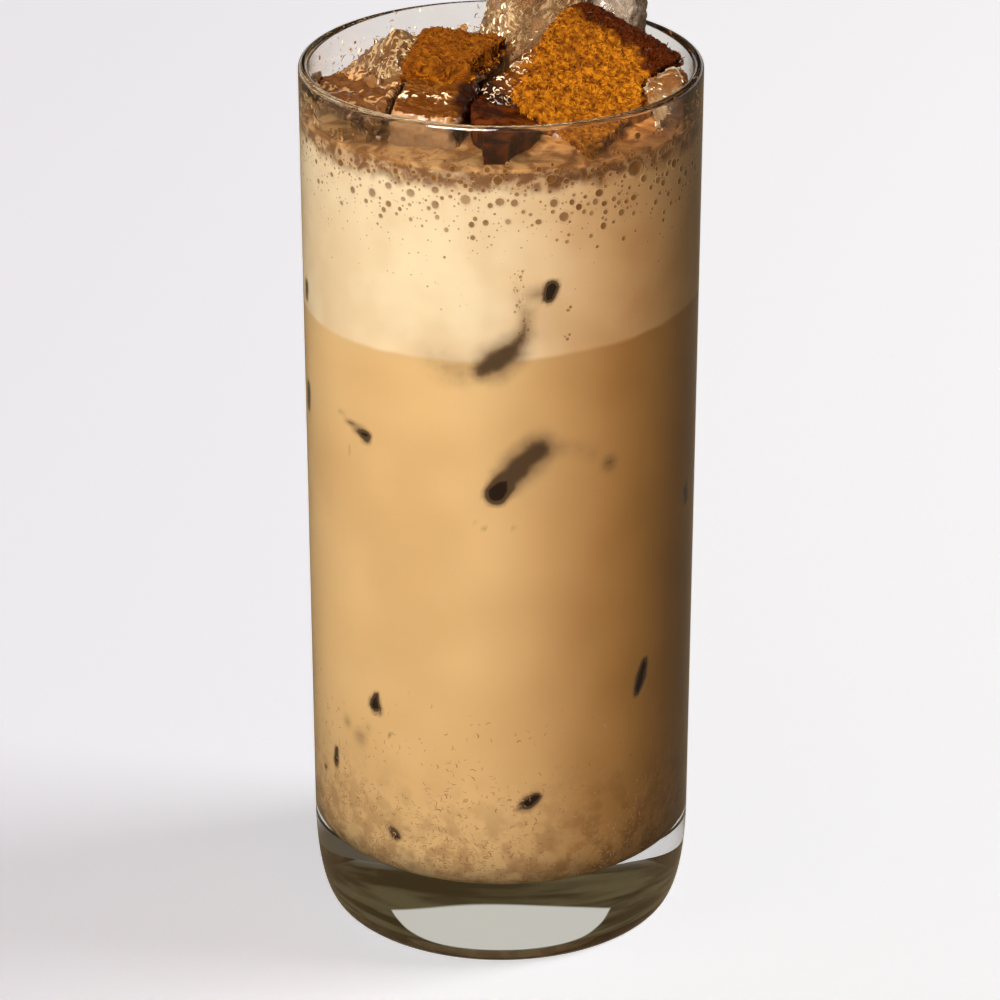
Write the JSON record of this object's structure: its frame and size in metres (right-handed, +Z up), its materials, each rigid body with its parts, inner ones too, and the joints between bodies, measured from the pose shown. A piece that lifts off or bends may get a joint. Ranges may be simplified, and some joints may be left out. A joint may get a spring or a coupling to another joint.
{
  "type": "iced chai latte",
  "caption": "Layered iced milk tea in a tall straight glass, with frothed milk on top and worn ice cubes dusted with cinnamon.",
  "frame": {"origin": "Centre of the glass's foot, on the surface it stands on.", "axes": "+Z up along the glass, -Y towards the side with the large cinnamon-covered cube, +X to the right seen from there."},
  "size_m": [0.067, 0.067, 0.1649],
  "materials": {
    "glass": "clear polished",
    "chai": "opaque milky liquid",
    "milk_foam": "fine pale foam",
    "froth": "coarse brown bubbles",
    "ice": "wet, cloudy",
    "cinnamon": "dry ground spice"
  },
  "bodies": {
    "root": {"glass": "glass", "chai": "chai", "milk_foam": "milk_foam", "froth": "froth", "ice_large": "ice", "ice_middle": "ice", "ice_back": "ice", "ice_behind": "ice", "ice_peak": "ice", "ice_low": "ice", "ice_side": "ice", "cinnamon_large": "cinnamon", "cinnamon_middle": "cinnamon"}
  },
  "joints": []
}
